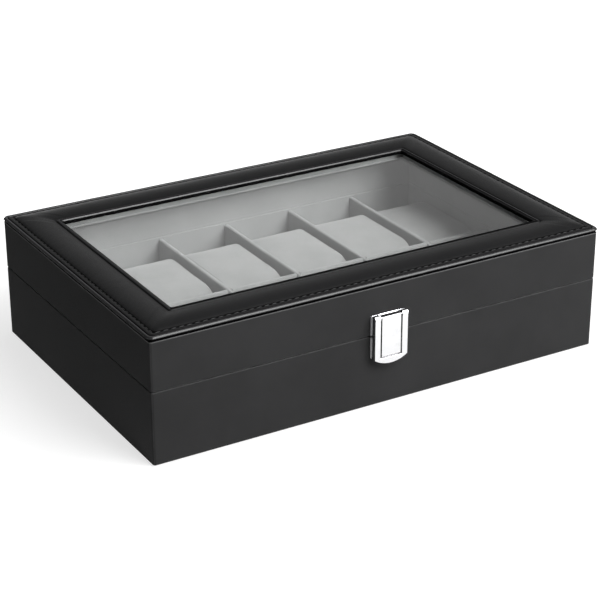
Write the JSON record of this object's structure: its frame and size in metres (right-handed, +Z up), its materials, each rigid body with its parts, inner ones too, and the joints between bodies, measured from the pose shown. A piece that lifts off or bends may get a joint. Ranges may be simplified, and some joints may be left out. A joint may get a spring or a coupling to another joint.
{
  "type": "watch box",
  "caption": "Low rectangular watch box wrapped in black leatherette, with a glazed lid on back hinges, a chrome bail latch and velvet cells that each hold a lift-out pillow.",
  "frame": {"origin": "middle of the underside, on the surface that the case stands on", "axes": "+X along the case, -Y towards the latch, +Z up"},
  "size_m": [0.3014, 0.2071, 0.0802],
  "materials": {
    "leatherette": "satin, fine grain",
    "fibreboard": "raw board",
    "felt": "matt felt",
    "velvet": "short-pile velvet",
    "pillow_velvet": "short-pile velvet",
    "glass": "polished",
    "chrome": "polished plating",
    "nickel": "nickel plating"
  },
  "bodies": {
    "base": {"base_front_panel": "fibreboard", "base_back_panel": "fibreboard", "base_left_panel": "fibreboard", "base_right_panel": "fibreboard", "base_bottom_board": "fibreboard", "base_wrap": "leatherette", "underside_felt": "felt", "base_floor_lining": "velvet", "base_lining_front": "velvet", "base_lining_back": "velvet", "base_lining_left": "velvet", "base_lining_right": "velvet", "long_divider": "velvet", "divider_1": "velvet", "divider_2": "velvet", "divider_3": "velvet", "divider_4": "velvet", "divider_5": "velvet", "hinge_base_leaf_left": "nickel", "hinge_base_leaf_right": "nickel", "hinge_pin_left": "nickel", "hinge_pin_right": "nickel", "hinge_screws_base": "nickel", "latch_keeper": "chrome", "latch_screws_base": "chrome"},
    "lid": {"lid_front_rail": "fibreboard", "lid_back_rail": "fibreboard", "lid_left_rail": "fibreboard", "lid_right_rail": "fibreboard", "lid_top_board": "fibreboard", "lid_wrap": "leatherette", "lid_top_cover": "leatherette", "glass_pane": "glass", "glass_retainer": "velvet", "lid_lining_front": "velvet", "lid_lining_back": "velvet", "lid_lining_left": "velvet", "lid_lining_right": "velvet", "hinge_lid_leaf_left": "nickel", "hinge_lid_leaf_right": "nickel", "hinge_screws_lid": "nickel", "latch_hinge_plate": "chrome", "latch_pin": "chrome", "latch_screws_lid": "chrome"},
    "bail": {"latch_bail": "chrome"},
    "pillow_front_1": {"pillow_front_1": "pillow_velvet"},
    "pillow_front_2": {"pillow_front_2": "pillow_velvet"},
    "pillow_front_3": {"pillow_front_3": "pillow_velvet"},
    "pillow_front_4": {"pillow_front_4": "pillow_velvet"},
    "pillow_front_5": {"pillow_front_5": "pillow_velvet"},
    "pillow_front_6": {"pillow_front_6": "pillow_velvet"},
    "pillow_back_1": {"pillow_back_1": "pillow_velvet"},
    "pillow_back_2": {"pillow_back_2": "pillow_velvet"},
    "pillow_back_3": {"pillow_back_3": "pillow_velvet"},
    "pillow_back_4": {"pillow_back_4": "pillow_velvet"},
    "pillow_back_5": {"pillow_back_5": "pillow_velvet"},
    "pillow_back_6": {"pillow_back_6": "pillow_velvet"}
  },
  "joints": [
    {"name": "lid_hinge", "type": "hinge", "parent": "base", "child": "lid", "pos_m": [0, 0.1, 0.045], "axis": [-1, 0, 0], "range_deg": [0, 100]},
    {"name": "bail_hinge", "type": "hinge", "parent": "lid", "child": "bail", "pos_m": [0, -0.1031, 0.0565], "axis": [-1, 0, 0], "range_deg": [0, 120]},
    {"name": "lift_front_1", "type": "slide", "parent": "base", "child": "pillow_front_1", "axis": [0, 0, 1], "range_m": [0, 0.028]},
    {"name": "lift_front_2", "type": "slide", "parent": "base", "child": "pillow_front_2", "axis": [0, 0, 1], "range_m": [0, 0.028]},
    {"name": "lift_front_3", "type": "slide", "parent": "base", "child": "pillow_front_3", "axis": [0, 0, 1], "range_m": [0, 0.028]},
    {"name": "lift_front_4", "type": "slide", "parent": "base", "child": "pillow_front_4", "axis": [0, 0, 1], "range_m": [0, 0.028]},
    {"name": "lift_front_5", "type": "slide", "parent": "base", "child": "pillow_front_5", "axis": [0, 0, 1], "range_m": [0, 0.028]},
    {"name": "lift_front_6", "type": "slide", "parent": "base", "child": "pillow_front_6", "axis": [0, 0, 1], "range_m": [0, 0.028]},
    {"name": "lift_back_1", "type": "slide", "parent": "base", "child": "pillow_back_1", "axis": [0, 0, 1], "range_m": [0, 0.028]},
    {"name": "lift_back_2", "type": "slide", "parent": "base", "child": "pillow_back_2", "axis": [0, 0, 1], "range_m": [0, 0.028]},
    {"name": "lift_back_3", "type": "slide", "parent": "base", "child": "pillow_back_3", "axis": [0, 0, 1], "range_m": [0, 0.028]},
    {"name": "lift_back_4", "type": "slide", "parent": "base", "child": "pillow_back_4", "axis": [0, 0, 1], "range_m": [0, 0.028]},
    {"name": "lift_back_5", "type": "slide", "parent": "base", "child": "pillow_back_5", "axis": [0, 0, 1], "range_m": [0, 0.028]},
    {"name": "lift_back_6", "type": "slide", "parent": "base", "child": "pillow_back_6", "axis": [0, 0, 1], "range_m": [0, 0.028]}
  ]
}
